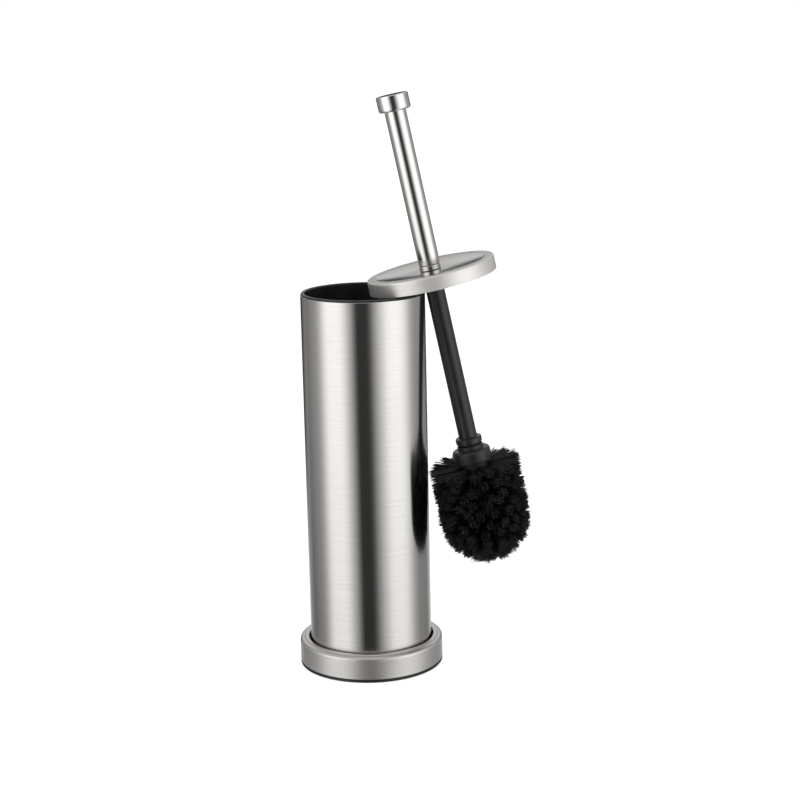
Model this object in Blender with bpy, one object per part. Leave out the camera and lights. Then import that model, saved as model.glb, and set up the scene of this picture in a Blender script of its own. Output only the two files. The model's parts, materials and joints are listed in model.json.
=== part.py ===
"""Lidded toilet brush with its canister, the brush hung by its lid on the canister's rim.

Frame: metres, +Z up, origin on the canister's axis at the floor, brush hung on the +X side.
Every piece is a separate turned solid. The brush pieces are modelled upright on their own
axis, with z = 0 at the lower edge of the lid's skirt, and an empty then tilts them together.
"""
import math

import bmesh
import bpy
from mathutils import Vector

# ---------------------------------------------------------------- clearances
GAP = 0.0003             # between pieces that touch
LIFT_GAP = 0.0006        # between the liner and the shell it is lifted out of
SWING_GAP = 0.0004       # between the hung brush and the canister beside it

# ---------------------------------------------------------------- canister
SHELL_RADIUS = 0.0420
SHELL_WALL = 0.0008
SHELL_TOP = 0.2590       # height of the shell's upper edge above the floor

LIP_SETBACK = 0.0004     # how far the liner's lip stands back from the shell's outer face
LIP_THICKNESS = 0.0010
LIP_FLAT = 0.0001        # least flat left on the lip beside its rounding
LINER_WALL = 0.0015
LINER_FLOOR = 0.0020
LINER_DRAFT = 0.0018     # how much narrower the liner is at its foot
LINER_UNDER = 0.0165     # height of the liner's underside above the floor
LINER_CORNER = 0.0050

PLINTH_LEDGE = 0.0075    # how far the plinth stands out past the shell
PLINTH_WALL = 0.0008
PLINTH_TOP = 0.0188
PLINTH_FILLET = 0.0024
PLINTH_STEP = 0.0006     # fine step between the shelf and the rounded shoulder
PLINTH_SHOULDER = 0.0008 # flat width between that step and the fillet
PLINTH_COLLAR = 0.0016   # turned-down inner edge round the shell

PAD_INSET = 0.0040       # how far the pad stands back from the plinth cover
PAD_THICKNESS = 0.0012
BASE_RIM = 0.0002        # height of the base plate's rim above the floor
BASE_BAND = 0.0019       # height of the band that shows below the plinth cover
BASE_INSET = 0.0003      # how far that band stands back from the plinth cover
BASE_DECK = 0.0046       # height of the base plate's deck
SOCKET_WALL = 0.0015
SOCKET_INNER = 0.0080    # height of the socket's inner wall above the deck
SOCKET_OUTER = 0.0060    # height of the socket's outer wall above the deck

# ---------------------------------------------------------------- lid
LID_FIT = 0.0007         # radial room between the lid's skirt and the shell
LID_HEIGHT = 0.0098
LID_WALL = 0.0008
LID_FILLET = 0.0012
LID_RING = 0.0060        # width of the raised ring round the lid
LID_STEP = 0.0003        # drop from the ring to the edge of the dish
LID_STEP_RUN = 0.0005
LID_DISH = 0.0015        # depth of the dish below its own edge
LID_DISH_RUN = 0.0240    # width of the dish's turned-up edge
LID_SEAT = 0.0028        # how far the skirt reaches down past the rim when closed

# ---------------------------------------------------------------- handle
HANDLE_RADIUS = 0.0072
HANDLE_WALL = 0.0008
HANDLE_LENGTH = 0.1044   # from the collar to the cap
COLLAR_HEIGHT = 0.0031
CAP_RADIUS = 0.0108
CAP_HEIGHT = 0.0108
CAP_TOP_ROUND = 0.0006
CAP_FOOT_ROUND = 0.0016
CAP_SOCKET = 0.0050
PLUG_LENGTH = 0.0160
INSERT_LENGTH = 0.0200
STUD_RADIUS = 0.0030
STUD_UP = 0.0150         # into the handle's threaded insert
STUD_DOWN = 0.0140       # into the lower shaft
SPIGOT_PIN = 0.0030      # radius and length of the pin that centres the cap

# ---------------------------------------------------------------- lower shaft and head
SHAFT_RADIUS = 0.0063
FOOT_ROOM = 0.0392       # under the bristles when the lid is closed
FLANGE_RADIUS = 0.0090
FLANGE_HEIGHT = 0.0041
FLANGE_ROUND = 0.0008
SPIGOT_RADIUS = 0.0046
SPIGOT_LENGTH = 0.0140
WASHER_RADIUS = 0.0080
WASHER_THICKNESS = 0.0008
NECK_RADIUS = 0.0089
NECK_HEIGHT = 0.0026
HUB_RADIUS = 0.0130
HUB_HEIGHT = 0.0089
HUB_ROUND = 0.0020
CORE_RADIUS = 0.0095
CORE_LENGTH = 0.0480
CORE_FLOOR = 0.0020      # core left under the threaded bore
BRISTLE_ROOM = 0.0061    # between the bristles and the foot of the liner's wall
BRISTLE_STRAY = 0.0008   # how far single filaments stand out past the trimmed outline
BRISTLE_LENGTH = 0.0720
BRISTLE_EDGE = 0.0030    # rounding of the bristles' upper edge

LARGE_SIDES = 48
SMALL_SIDES = 32
STUD_SIDES = 20

# ---------------------------------------------------------------- sizes that follow
LIP_UNDER = SHELL_TOP + GAP
LIP_TOP = LIP_UNDER + LIP_THICKNESS
LIP_OUTER = SHELL_RADIUS - LIP_SETBACK
LINER_OUTER = SHELL_RADIUS - SHELL_WALL - LIFT_GAP
LINER_INNER = LINER_OUTER - LINER_WALL
LIP_ROUND = min(LIP_THICKNESS, (LIP_OUTER - LINER_INNER) / 2) - LIP_FLAT
LINER_DEPTH = LIP_TOP - LINER_UNDER - LINER_FLOOR

PLINTH_RADIUS = SHELL_RADIUS + PLINTH_LEDGE
PAD_RADIUS = PLINTH_RADIUS - PAD_INSET

BAND_TOP = BASE_RIM + BASE_BAND
SKIRT_FOOT = BAND_TOP + GAP

LID_RADIUS = SHELL_RADIUS + LID_FIT + LID_WALL
INSERT_UNDER = LID_SEAT
DISH_EDGE = LID_HEIGHT - LID_STEP
DISH_CENTRE = DISH_EDGE - LID_DISH
DISH_RADIUS = LID_RADIUS - LID_RING - LID_STEP_RUN
DISH_FLAT = DISH_RADIUS - LID_DISH_RUN
STUD_BORE = STUD_RADIUS + GAP

COLLAR_FOOT = DISH_CENTRE + GAP
COLLAR_TOP = COLLAR_FOOT + COLLAR_HEIGHT
TUBE_FOOT = COLLAR_TOP + GAP
CAP_FOOT = TUBE_FOOT + HANDLE_LENGTH
TUBE_TOP = CAP_FOOT + CAP_SOCKET - GAP
TUBE_BORE = HANDLE_RADIUS - HANDLE_WALL
STUD_TOP = TUBE_FOOT + STUD_UP

HEAD_DROP = FLANGE_HEIGHT + WASHER_THICKNESS + NECK_HEIGHT + HUB_HEIGHT + BRISTLE_LENGTH + 3 * GAP
SHAFT_LENGTH = LINER_DEPTH - FOOT_ROOM - HEAD_DROP - GAP   # from the lid's underside to the flange
BRISTLE_RADIUS = LINER_INNER - LINER_DRAFT - BRISTLE_ROOM

SHAFT_TOP = INSERT_UNDER - GAP
STUD_FOOT = SHAFT_TOP - STUD_DOWN
FLANGE_TOP = SHAFT_TOP - SHAFT_LENGTH
FLANGE_FOOT = FLANGE_TOP - FLANGE_HEIGHT
WASHER_TOP = FLANGE_FOOT - GAP
WASHER_FOOT = WASHER_TOP - WASHER_THICKNESS
NECK_TOP = WASHER_FOOT - GAP
HUB_TOP = NECK_TOP - NECK_HEIGHT
HUB_FOOT = HUB_TOP - HUB_HEIGHT
SPIGOT_FOOT = FLANGE_FOOT - SPIGOT_LENGTH
CORE_FOOT = HUB_FOOT - max(CORE_LENGTH, SPIGOT_LENGTH + CORE_FLOOR + GAP)
BRISTLE_TOP = HUB_FOOT - GAP
BRISTLE_FOOT = BRISTLE_TOP - BRISTLE_LENGTH
DOME_CENTRE = BRISTLE_FOOT + BRISTLE_RADIUS


# ---------------------------------------------------------------- helpers
def clear_scene():
    for old in list(bpy.data.objects):
        bpy.data.objects.remove(old, do_unlink=True)


def finish(name, colour, roughness, metallic):
    material = bpy.data.materials.new(name)
    material.use_nodes = True
    shader = material.node_tree.nodes["Principled BSDF"]
    shader.inputs["Base Color"].default_value = (*colour, 1.0)
    shader.inputs["Roughness"].default_value = roughness
    shader.inputs["Metallic"].default_value = metallic
    material.diffuse_color = (*colour, 1.0)
    return material


def satin_steel(name):
    return finish(name, (0.62, 0.61, 0.59), 0.30, 1.0)


def black_plastic(name):
    return finish(name, (0.012, 0.012, 0.013), 0.42, 0.0)


def arc(centre_r, centre_z, radius, start, end, steps=4):
    """Points of an arc in the profile's plane, angles in degrees from the +r direction."""
    points = []
    for step in range(steps + 1):
        angle = math.radians(start + (end - start) * step / steps)
        points.append((centre_r + radius * math.cos(angle), centre_z + radius * math.sin(angle)))
    return points


def turned(name, profile, sides, material, parent=None):
    """A solid of revolution. A profile that starts and ends on the axis needs no closing edge."""
    mesh = bpy.data.meshes.new(name)
    bm = bmesh.new()
    verts = [bm.verts.new((radius, 0.0, height)) for radius, height in profile]
    edges = [bm.edges.new(pair) for pair in zip(verts, verts[1:])]
    on_axis = profile[0][0] == 0.0 and profile[-1][0] == 0.0
    if not on_axis:
        edges.append(bm.edges.new((verts[-1], verts[0])))
    bmesh.ops.spin(bm, geom=verts + edges, cent=(0, 0, 0), axis=(0, 0, 1),
                   angle=2 * math.pi, steps=sides, use_merge=True)
    bmesh.ops.remove_doubles(bm, verts=bm.verts[:], dist=1e-6)
    bmesh.ops.recalc_face_normals(bm, faces=bm.faces[:])
    bm.to_mesh(mesh)
    bm.free()
    mesh.shade_smooth()
    mesh.set_sharp_from_angle(angle=math.radians(35))
    mesh.materials.append(material)
    solid = bpy.data.objects.new(name, mesh)
    bpy.context.collection.objects.link(solid)
    solid.parent = parent
    return solid


def from_the_axis(profile):
    """The closed outline of a blind-bored piece, started where it leaves the axis."""
    first = next(i for i, point in enumerate(profile) if point[0] == 0.0)
    return profile[first + 1:] + profile[:first + 1]


# ---------------------------------------------------------------- canister pieces
def make_outer_shell():
    foot = BASE_DECK + GAP
    inner = SHELL_RADIUS - SHELL_WALL
    profile = [(SHELL_RADIUS, foot), (SHELL_RADIUS, SHELL_TOP), (inner, SHELL_TOP), (inner, foot)]
    return turned("outer_shell", profile, LARGE_SIDES, satin_steel("shell_steel"))


def make_liner_bucket():
    foot_outer = LINER_OUTER - LINER_DRAFT
    foot_inner = foot_outer - LINER_WALL
    inside_corner = LINER_CORNER - LINER_WALL
    floor = LINER_UNDER + LINER_FLOOR
    profile = [(0.0, LINER_UNDER)]
    profile += arc(foot_outer - LINER_CORNER, LINER_UNDER + LINER_CORNER, LINER_CORNER, -90, 0)
    profile += [(LINER_OUTER, LIP_UNDER), (LIP_OUTER, LIP_UNDER)]
    profile += arc(LIP_OUTER - LIP_ROUND, LIP_TOP - LIP_ROUND, LIP_ROUND, 0, 90)
    profile += arc(LINER_INNER + LIP_ROUND, LIP_TOP - LIP_ROUND, LIP_ROUND, 90, 180)
    profile += arc(foot_inner - inside_corner, floor + inside_corner, inside_corner, 0, -90)
    profile += [(0.0, floor)]
    return turned("liner_bucket", profile, LARGE_SIDES, black_plastic("liner_plastic"))


def make_plinth_cover():
    bore = SHELL_RADIUS + GAP
    shoulder = PLINTH_TOP - PLINTH_STEP
    step = PLINTH_RADIUS - PLINTH_FILLET - PLINTH_SHOULDER
    inner = PLINTH_RADIUS - PLINTH_WALL
    ceiling = shoulder - PLINTH_WALL
    profile = [(bore, PLINTH_TOP - PLINTH_COLLAR)]
    profile += arc(bore + PLINTH_COLLAR / 2, PLINTH_TOP - PLINTH_COLLAR / 2, PLINTH_COLLAR / 2,
                   180, 90, 3)
    profile += [(step - PLINTH_STEP / 2, PLINTH_TOP), (step, shoulder)]
    profile += arc(PLINTH_RADIUS - PLINTH_FILLET, shoulder - PLINTH_FILLET, PLINTH_FILLET, 90, 0)
    profile += [(PLINTH_RADIUS, SKIRT_FOOT), (inner, SKIRT_FOOT)]
    profile += arc(PLINTH_RADIUS - PLINTH_FILLET, shoulder - PLINTH_FILLET,
                   PLINTH_FILLET - PLINTH_WALL, 0, 90, 3)
    profile += [(bore + PLINTH_WALL, ceiling), (bore + PLINTH_WALL, PLINTH_TOP - PLINTH_COLLAR)]
    return turned("plinth_cover", profile, LARGE_SIDES, satin_steel("plinth_steel"))


def make_base_plate():
    band = PLINTH_RADIUS - BASE_INSET
    deck = PLINTH_RADIUS - PLINTH_WALL - GAP
    recess = PAD_THICKNESS + GAP
    outer_face = SHELL_RADIUS + GAP
    inner_face = SHELL_RADIUS - SHELL_WALL - GAP
    profile = [(0.0, recess), (PAD_RADIUS + GAP, recess), (PAD_RADIUS + GAP, BASE_RIM),
               (band, BASE_RIM), (band, BAND_TOP), (deck, BAND_TOP), (deck, BASE_DECK),
               (outer_face + SOCKET_WALL, BASE_DECK),
               (outer_face + SOCKET_WALL, BASE_DECK + SOCKET_OUTER),
               (outer_face, BASE_DECK + SOCKET_OUTER), (outer_face, BASE_DECK),
               (inner_face, BASE_DECK), (inner_face, BASE_DECK + SOCKET_INNER),
               (inner_face - SOCKET_WALL, BASE_DECK + SOCKET_INNER),
               (inner_face - SOCKET_WALL, BASE_DECK), (0.0, BASE_DECK)]
    return turned("base_plate", profile, LARGE_SIDES, black_plastic("base_plastic"))


def make_anti_slip_pad():
    profile = [(0.0, 0.0), (PAD_RADIUS, 0.0), (PAD_RADIUS, PAD_THICKNESS), (0.0, PAD_THICKNESS)]
    rubber = finish("pad_rubber", (0.02, 0.02, 0.02), 0.85, 0.0)
    return turned("anti_slip_pad", profile, LARGE_SIDES, rubber)


# ---------------------------------------------------------------- lid pieces
def dish_points(drop, steps=5):
    """The dish from its edge over the turned-up part to the stud's bore, lowered by drop."""
    points = []
    for step in range(steps + 1):
        share = 1 - step / steps
        points.append((DISH_FLAT + LID_DISH_RUN * share, DISH_CENTRE + LID_DISH * share ** 2 - drop))
    points.append((STUD_BORE, DISH_CENTRE - drop))
    return points


def make_lid_cover(parent):
    inner = LID_RADIUS - LID_WALL
    profile = [(LID_RADIUS, 0.0)]
    profile += arc(LID_RADIUS - LID_FILLET, LID_HEIGHT - LID_FILLET, LID_FILLET, 0, 90)
    profile += [(LID_RADIUS - LID_RING, LID_HEIGHT)]
    profile += dish_points(0.0)
    profile += dish_points(LID_WALL)[::-1]
    profile += [(inner, DISH_EDGE - LID_WALL), (inner, 0.0)]
    return turned("lid_cover", profile, LARGE_SIDES, satin_steel("lid_steel"), parent)


def make_lid_insert(parent):
    top = DISH_CENTRE - LID_WALL - GAP
    edge = LID_RADIUS - LID_WALL - GAP
    profile = [(STUD_BORE, INSERT_UNDER), (edge, INSERT_UNDER), (edge, top), (STUD_BORE, top)]
    return turned("lid_insert", profile, LARGE_SIDES, black_plastic("insert_plastic"), parent)


# ---------------------------------------------------------------- handle pieces
def make_handle_collar(parent):
    profile = [(STUD_BORE, COLLAR_FOOT), (HANDLE_RADIUS, COLLAR_FOOT),
               (HANDLE_RADIUS, COLLAR_TOP), (STUD_BORE, COLLAR_TOP)]
    return turned("handle_collar", profile, SMALL_SIDES, satin_steel("collar_steel"), parent)


def make_handle_tube(parent):
    profile = [(HANDLE_RADIUS, TUBE_FOOT), (HANDLE_RADIUS, TUBE_TOP),
               (TUBE_BORE, TUBE_TOP), (TUBE_BORE, TUBE_FOOT)]
    return turned("handle_tube", profile, SMALL_SIDES, satin_steel("tube_steel"), parent)


def make_handle_insert(parent):
    radius = TUBE_BORE - GAP
    top = TUBE_FOOT + max(INSERT_LENGTH, STUD_UP + 2 * STUD_RADIUS)
    bore_end = STUD_TOP + GAP
    profile = [(STUD_BORE, TUBE_FOOT), (radius, TUBE_FOOT), (radius, top),
               (0.0, top), (0.0, bore_end), (STUD_BORE, bore_end)]
    outline = from_the_axis(profile)
    return turned("handle_insert", outline, SMALL_SIDES, black_plastic("handle_plastic"), parent)


def make_cap_plug(parent):
    radius = TUBE_BORE - GAP
    foot = TUBE_TOP - PLUG_LENGTH
    profile = [(0.0, foot), (radius, foot), (radius, TUBE_TOP), (SPIGOT_PIN, TUBE_TOP),
               (SPIGOT_PIN, TUBE_TOP + SPIGOT_PIN), (0.0, TUBE_TOP + SPIGOT_PIN)]
    return turned("cap_plug", profile, SMALL_SIDES, black_plastic("plug_plastic"), parent)


def make_end_cap(parent):
    socket = HANDLE_RADIUS + GAP
    ceiling = CAP_FOOT + CAP_SOCKET
    pin_bore = SPIGOT_PIN + GAP
    top = CAP_FOOT + CAP_HEIGHT
    profile = [(socket, CAP_FOOT)]
    profile += arc(CAP_RADIUS - CAP_FOOT_ROUND, CAP_FOOT + CAP_FOOT_ROUND, CAP_FOOT_ROUND, -90, 0)
    profile += arc(CAP_RADIUS - CAP_TOP_ROUND, top - CAP_TOP_ROUND, CAP_TOP_ROUND, 0, 90, 2)
    profile += [(0.0, top), (0.0, ceiling + SPIGOT_PIN + GAP), (pin_bore, ceiling + SPIGOT_PIN + GAP),
                (pin_bore, ceiling), (socket, ceiling)]
    chrome = finish("cap_chrome", (0.78, 0.78, 0.78), 0.06, 1.0)
    return turned("end_cap", from_the_axis(profile), SMALL_SIDES, chrome, parent)


def make_threaded_stud(parent):
    profile = [(0.0, STUD_FOOT), (STUD_RADIUS, STUD_FOOT), (STUD_RADIUS, STUD_TOP), (0.0, STUD_TOP)]
    zinc = finish("stud_zinc", (0.55, 0.55, 0.52), 0.35, 1.0)
    return turned("threaded_stud", profile, STUD_SIDES, zinc, parent)


# ---------------------------------------------------------------- lower shaft and brush head
def make_lower_shaft(parent):
    profile = [(0.0, SPIGOT_FOOT), (SPIGOT_RADIUS, SPIGOT_FOOT), (SPIGOT_RADIUS, FLANGE_FOOT),
               (FLANGE_RADIUS, FLANGE_FOOT)]
    profile += arc(FLANGE_RADIUS - FLANGE_ROUND, FLANGE_TOP - FLANGE_ROUND, FLANGE_ROUND, 0, 90, 3)
    profile += [(SHAFT_RADIUS, FLANGE_TOP), (SHAFT_RADIUS, SHAFT_TOP), (STUD_BORE, SHAFT_TOP),
                (STUD_BORE, STUD_FOOT - GAP), (0.0, STUD_FOOT - GAP)]
    return turned("lower_shaft", profile, SMALL_SIDES, black_plastic("shaft_plastic"), parent)


def make_neck_washer(parent):
    bore = SPIGOT_RADIUS + GAP
    profile = [(bore, WASHER_FOOT), (WASHER_RADIUS, WASHER_FOOT), (WASHER_RADIUS, WASHER_TOP),
               (bore, WASHER_TOP)]
    rubber = finish("washer_rubber", (0.008, 0.008, 0.008), 0.7, 0.0)
    return turned("neck_washer", profile, SMALL_SIDES, rubber, parent)


def make_head_core(parent):
    bore = SPIGOT_RADIUS + GAP
    bore_end = SPIGOT_FOOT - GAP
    core_end = CORE_RADIUS / 2
    profile = [(0.0, CORE_FOOT), (CORE_RADIUS - core_end, CORE_FOOT)]
    profile += [(CORE_RADIUS, CORE_FOOT + core_end), (CORE_RADIUS, HUB_FOOT), (HUB_RADIUS, HUB_FOOT)]
    profile += arc(HUB_RADIUS - HUB_ROUND, HUB_TOP - HUB_ROUND, HUB_ROUND, 0, 90, 3)
    profile += [(NECK_RADIUS, HUB_TOP), (NECK_RADIUS, NECK_TOP), (bore, NECK_TOP),
                (bore, bore_end), (0.0, bore_end)]
    return turned("head_core", profile, SMALL_SIDES, black_plastic("core_plastic"), parent)


def make_bristles(parent):
    """The envelope of the tufts: a cylinder with a domed foot, hollow round the core."""
    socket = CORE_RADIUS + GAP
    profile = [(0.0, BRISTLE_FOOT)]
    profile += arc(0.0, DOME_CENTRE, BRISTLE_RADIUS, -75, 0, 6)
    profile += arc(BRISTLE_RADIUS - BRISTLE_EDGE, BRISTLE_TOP - BRISTLE_EDGE, BRISTLE_EDGE, 0, 90, 3)
    profile += [(socket, BRISTLE_TOP), (socket, CORE_FOOT - GAP), (0.0, CORE_FOOT - GAP)]
    nylon = finish("bristle_nylon", (0.008, 0.008, 0.009), 0.6, 0.0)
    return turned("bristles", profile, SMALL_SIDES, nylon, parent)


# ---------------------------------------------------------------- how the brush hangs
def rim_height(radius):
    """Height of the canister's rim at a distance from its axis: the lip, then the shell's edge."""
    if radius < LINER_INNER or radius > SHELL_RADIUS:
        return 0.0
    past = max(LINER_INNER + LIP_ROUND - radius, radius - LIP_OUTER + LIP_ROUND, 0.0)
    if past > LIP_ROUND:
        return SHELL_TOP
    return LIP_TOP - LIP_ROUND + math.sqrt(LIP_ROUND ** 2 - past ** 2)


def bisect(clear_at, low, high):
    """The smallest value between low and high at which clear_at is true."""
    for _ in range(50):
        middle = (low + high) / 2
        if clear_at(middle):
            high = middle
        else:
            low = middle
    return high


def lid_centre(tilt, rise):
    """The centre of the skirt's lower edge, rise up the axis from where the shaft passes the rim."""
    across = SHELL_RADIUS + SWING_GAP + SHAFT_RADIUS / math.cos(tilt)
    return Vector((across - rise * math.sin(tilt), 0.0, LIP_TOP + rise * math.cos(tilt)))


def skirt_clears_rim(tilt, rise):
    centre = lid_centre(tilt, rise)
    for step in range(181):
        angle = math.radians(step)
        x = centre.x + LID_RADIUS * math.cos(angle) * math.cos(tilt)
        y = LID_RADIUS * math.sin(angle)
        z = centre.z + LID_RADIUS * math.cos(angle) * math.sin(tilt)
        if z < rim_height(math.hypot(x, y)) + GAP:
            return False
    return True


def hung_lid_centre(tilt):
    rise = bisect(lambda value: skirt_clears_rim(tilt, value), 0.0, 2 * LID_RADIUS)
    return lid_centre(tilt, rise)


def head_clears_canister(tilt):
    """Every ring of the head passes the rim when the brush is lifted straight up."""
    centre = hung_lid_centre(tilt)
    rings = [(HUB_RADIUS, HUB_TOP), (BRISTLE_RADIUS + BRISTLE_STRAY, BRISTLE_TOP - BRISTLE_EDGE)]
    inner_sides = [centre.x - height * math.sin(tilt) - radius * math.cos(tilt)
                   for radius, height in rings]
    return min(inner_sides) > SHELL_RADIUS + SWING_GAP


def hang_brush():
    """The tilt and place at which shaft, lid and head all just rest against the canister."""
    tilt = bisect(head_clears_canister, math.radians(1), math.radians(45))
    return tilt, hung_lid_centre(tilt)


def make_axis(name, location, tilt, parent=None):
    axis = bpy.data.objects.new(name, None)
    axis.location = location
    axis.rotation_euler = (0.0, -tilt, 0.0)
    axis.parent = parent
    bpy.context.collection.objects.link(axis)
    return axis


def main():
    clear_scene()
    make_outer_shell()
    make_plinth_cover()
    make_base_plate()
    make_anti_slip_pad()
    make_liner_bucket()

    tilt, centre = hang_brush()
    brush = make_axis("brush_axis", centre, tilt)
    for make in (make_lid_cover, make_lid_insert, make_handle_collar, make_handle_tube,
                 make_handle_insert, make_cap_plug, make_end_cap, make_threaded_stud,
                 make_lower_shaft, make_neck_washer, make_head_core, make_bristles):
        make(brush)
    print(f"tilt {math.degrees(tilt):.3f} degrees, lid centre {tuple(round(v, 5) for v in centre)}")


main()
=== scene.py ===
# %% [markdown]
# # A lidded toilet brush and its steel canister
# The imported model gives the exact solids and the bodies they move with. This lesson keeps that
# frame as it is and builds the visible pieces round it: finer turned metal and plastic, a brush
# head of real filaments, and a material for each finish.

# %% Load the frame
import json
import math
import random

import bmesh
import bpy
from mathutils import Matrix, Quaternion, Vector


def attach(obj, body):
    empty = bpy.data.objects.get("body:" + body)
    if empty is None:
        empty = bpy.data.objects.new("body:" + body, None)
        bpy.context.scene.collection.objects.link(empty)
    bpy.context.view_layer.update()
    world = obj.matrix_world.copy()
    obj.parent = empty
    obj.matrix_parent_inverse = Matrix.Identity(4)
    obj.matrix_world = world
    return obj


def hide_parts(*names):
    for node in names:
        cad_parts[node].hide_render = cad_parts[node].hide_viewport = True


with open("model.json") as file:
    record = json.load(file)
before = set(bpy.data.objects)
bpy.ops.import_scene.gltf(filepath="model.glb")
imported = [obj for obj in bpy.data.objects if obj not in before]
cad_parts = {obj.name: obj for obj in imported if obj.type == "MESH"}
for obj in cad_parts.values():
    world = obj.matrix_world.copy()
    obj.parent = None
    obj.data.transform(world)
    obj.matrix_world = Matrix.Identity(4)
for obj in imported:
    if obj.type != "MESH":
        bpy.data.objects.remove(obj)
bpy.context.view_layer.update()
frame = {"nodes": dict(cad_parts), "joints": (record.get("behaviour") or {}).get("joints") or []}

MM = 0.001
nodes = frame["nodes"]

# %% [markdown]
# ## The camera
# A long lens a little over a metre away looks slightly down, so the rim of the canister reads as a
# thin ellipse and its foot as a wider one. Distance, height and angles are plain values.

# %% Camera
CAMERA_DISTANCE = 1.2087
CAMERA_HEIGHT = 0.4476
CAMERA_LENS = 81.7
CAMERA_TURN = math.radians(1.12)
CAMERA_PITCH = math.radians(12.27)
CAMERA_ROLL = math.radians(-1.24)

camera = bpy.data.objects.new("camera", bpy.data.cameras.new("camera"))
camera.data.lens = CAMERA_LENS
camera.data.sensor_width = 36.0
camera.location = (0.0, -CAMERA_DISTANCE, CAMERA_HEIGHT)
sight = Vector((math.sin(CAMERA_TURN) * math.cos(CAMERA_PITCH),
                math.cos(CAMERA_TURN) * math.cos(CAMERA_PITCH),
                -math.sin(CAMERA_PITCH)))
turn_to_sight = sight.to_track_quat("-Z", "Y") @ Quaternion((0, 0, 1), CAMERA_ROLL)
camera.rotation_euler = turn_to_sight.to_euler()
bpy.context.scene.collection.objects.link(camera)
bpy.context.scene.camera = camera
bpy.context.scene.view_settings.view_transform = "Standard"
print("camera at", tuple(camera.location))

# %% [markdown]
# ## Colours and nodes
# Colours are written as sRGB hex, the way a colour picker shows them. Shaders work in linear
# light, so one function converts them. One more small function adds a node, sets it and links it.

# %% Colour and node helpers
def linear(hex_colour):
    channels = []
    for start in (1, 3, 5):
        value = int(hex_colour[start:start + 2], 16) / 255
        channels.append(value / 12.92 if value <= 0.04045 else ((value + 0.055) / 1.055) ** 2.4)
    return (*channels, 1.0)


def add_node(tree, kind, settings=None, **links):
    """Adds a node, sets its properties or input values, and links the named inputs."""
    node = tree.nodes.new(kind)
    for name, value in (settings or {}).items():
        if hasattr(node, name):
            setattr(node, name, value)
        else:
            node.inputs[name].default_value = value
    for name, output in links.items():
        tree.links.new(output, node.inputs[name.replace("_", " ")])
    return node


def colour_stops(ramp_node, stops):
    ramp = ramp_node.color_ramp
    while len(ramp.elements) > 1:
        ramp.elements.remove(ramp.elements[-1])
    ramp.elements[0].position = stops[0][0]
    ramp.elements[0].color = stops[0][1]
    for position, colour in stops[1:]:
        ramp.elements.new(position).color = colour

# %% [markdown]
# ## Light
# Polished tubes show nothing but what stands round them, so the light is a ring of tall soft
# panels with dark gaps between. The ring is drawn in the world shader by compass direction: it
# stays put when the camera moves, and it has no edges to model. The floor is left out of
# reflections so the lower half of the ring shows in the upright metal. One more dark gap lies
# low down behind the table. The near side of the lid's dish looks into it, and turns dark.

# %% World
def world_grey(value):
    return (value, value, value, 1.0)


# bearing in degrees round the object, 0 towards the front and positive to the right,
# then the brightness of the panel there
PANELS = [(-180, 0.95), (-163, 0.90), (-150, 0.45), (-131, 0.23), (-115, 0.33), (-100, 0.44),
          (-90, 0.69), (-81, 1.15), (-72, 1.53), (-60, 1.59), (-47, 1.57), (-39, 1.33),
          (-31, 0.90), (-24, 0.55), (-17, 0.19), (-12, 0.045), (4, 0.045), (9, 0.09),
          (13, 0.20), (20, 0.48), (27, 0.78), (35, 1.11), (42, 1.42), (50, 1.57), (66, 1.59),
          (76, 1.41), (86, 1.02), (96, 0.62), (108, 0.41), (139, 0.33), (160, 0.92)]
LOW_SHARE = 0.66           # how bright the ring still is 20 degrees below the horizon
TOP_LIGHT = 0.66
# upward part of a direction, then the share of the light that the gap behind the table leaves
GAP_BEHIND = [(-0.30, 1.0), (-0.24, 0.04), (0.00, 0.02), (0.10, 0.05), (0.155, 0.95)]

world = bpy.data.worlds.new("studio")
bpy.context.scene.world = world
world.use_nodes = True
tree = world.node_tree
tree.nodes.clear()
direction = add_node(tree, "ShaderNodeTexCoord")
bearing = add_node(tree, "ShaderNodeTexGradient", {"gradient_type": "RADIAL"},
                   Vector=direction.outputs["Generated"])
ring = add_node(tree, "ShaderNodeValToRGB", Fac=bearing.outputs["Fac"])
ring_stops = [((0.25 + angle / 360) % 1.0, world_grey(value)) for angle, value in PANELS]
ring_stops += [(1.0, world_grey(value)) for angle, value in PANELS if angle == -90]
ring_stops.sort()
colour_stops(ring, ring_stops)
height = add_node(tree, "ShaderNodeSeparateXYZ", Vector=direction.outputs["Generated"])
towards_top = add_node(tree, "ShaderNodeMapRange", {"From Min": 0.25, "From Max": 0.75},
                       Value=height.outputs["Z"])
towards_floor = add_node(tree, "ShaderNodeMapRange", {"From Min": -0.35, "From Max": -0.22,
                                                      "To Min": LOW_SHARE, "To Max": 1.0},
                         Value=height.outputs["Z"])
faded = add_node(tree, "ShaderNodeVectorMath", {"operation": "SCALE"},
                 Scale=towards_floor.outputs["Result"])
tree.links.new(ring.outputs["Color"], faded.inputs[0])
gap_height = add_node(tree, "ShaderNodeMapRange", {"From Min": -0.5, "From Max": 0.5},
                      Value=height.outputs["Z"])
gap_shares = add_node(tree, "ShaderNodeValToRGB", Fac=gap_height.outputs["Result"])
colour_stops(gap_shares, [(0.5 + where, world_grey(share)) for where, share in GAP_BEHIND])
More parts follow.
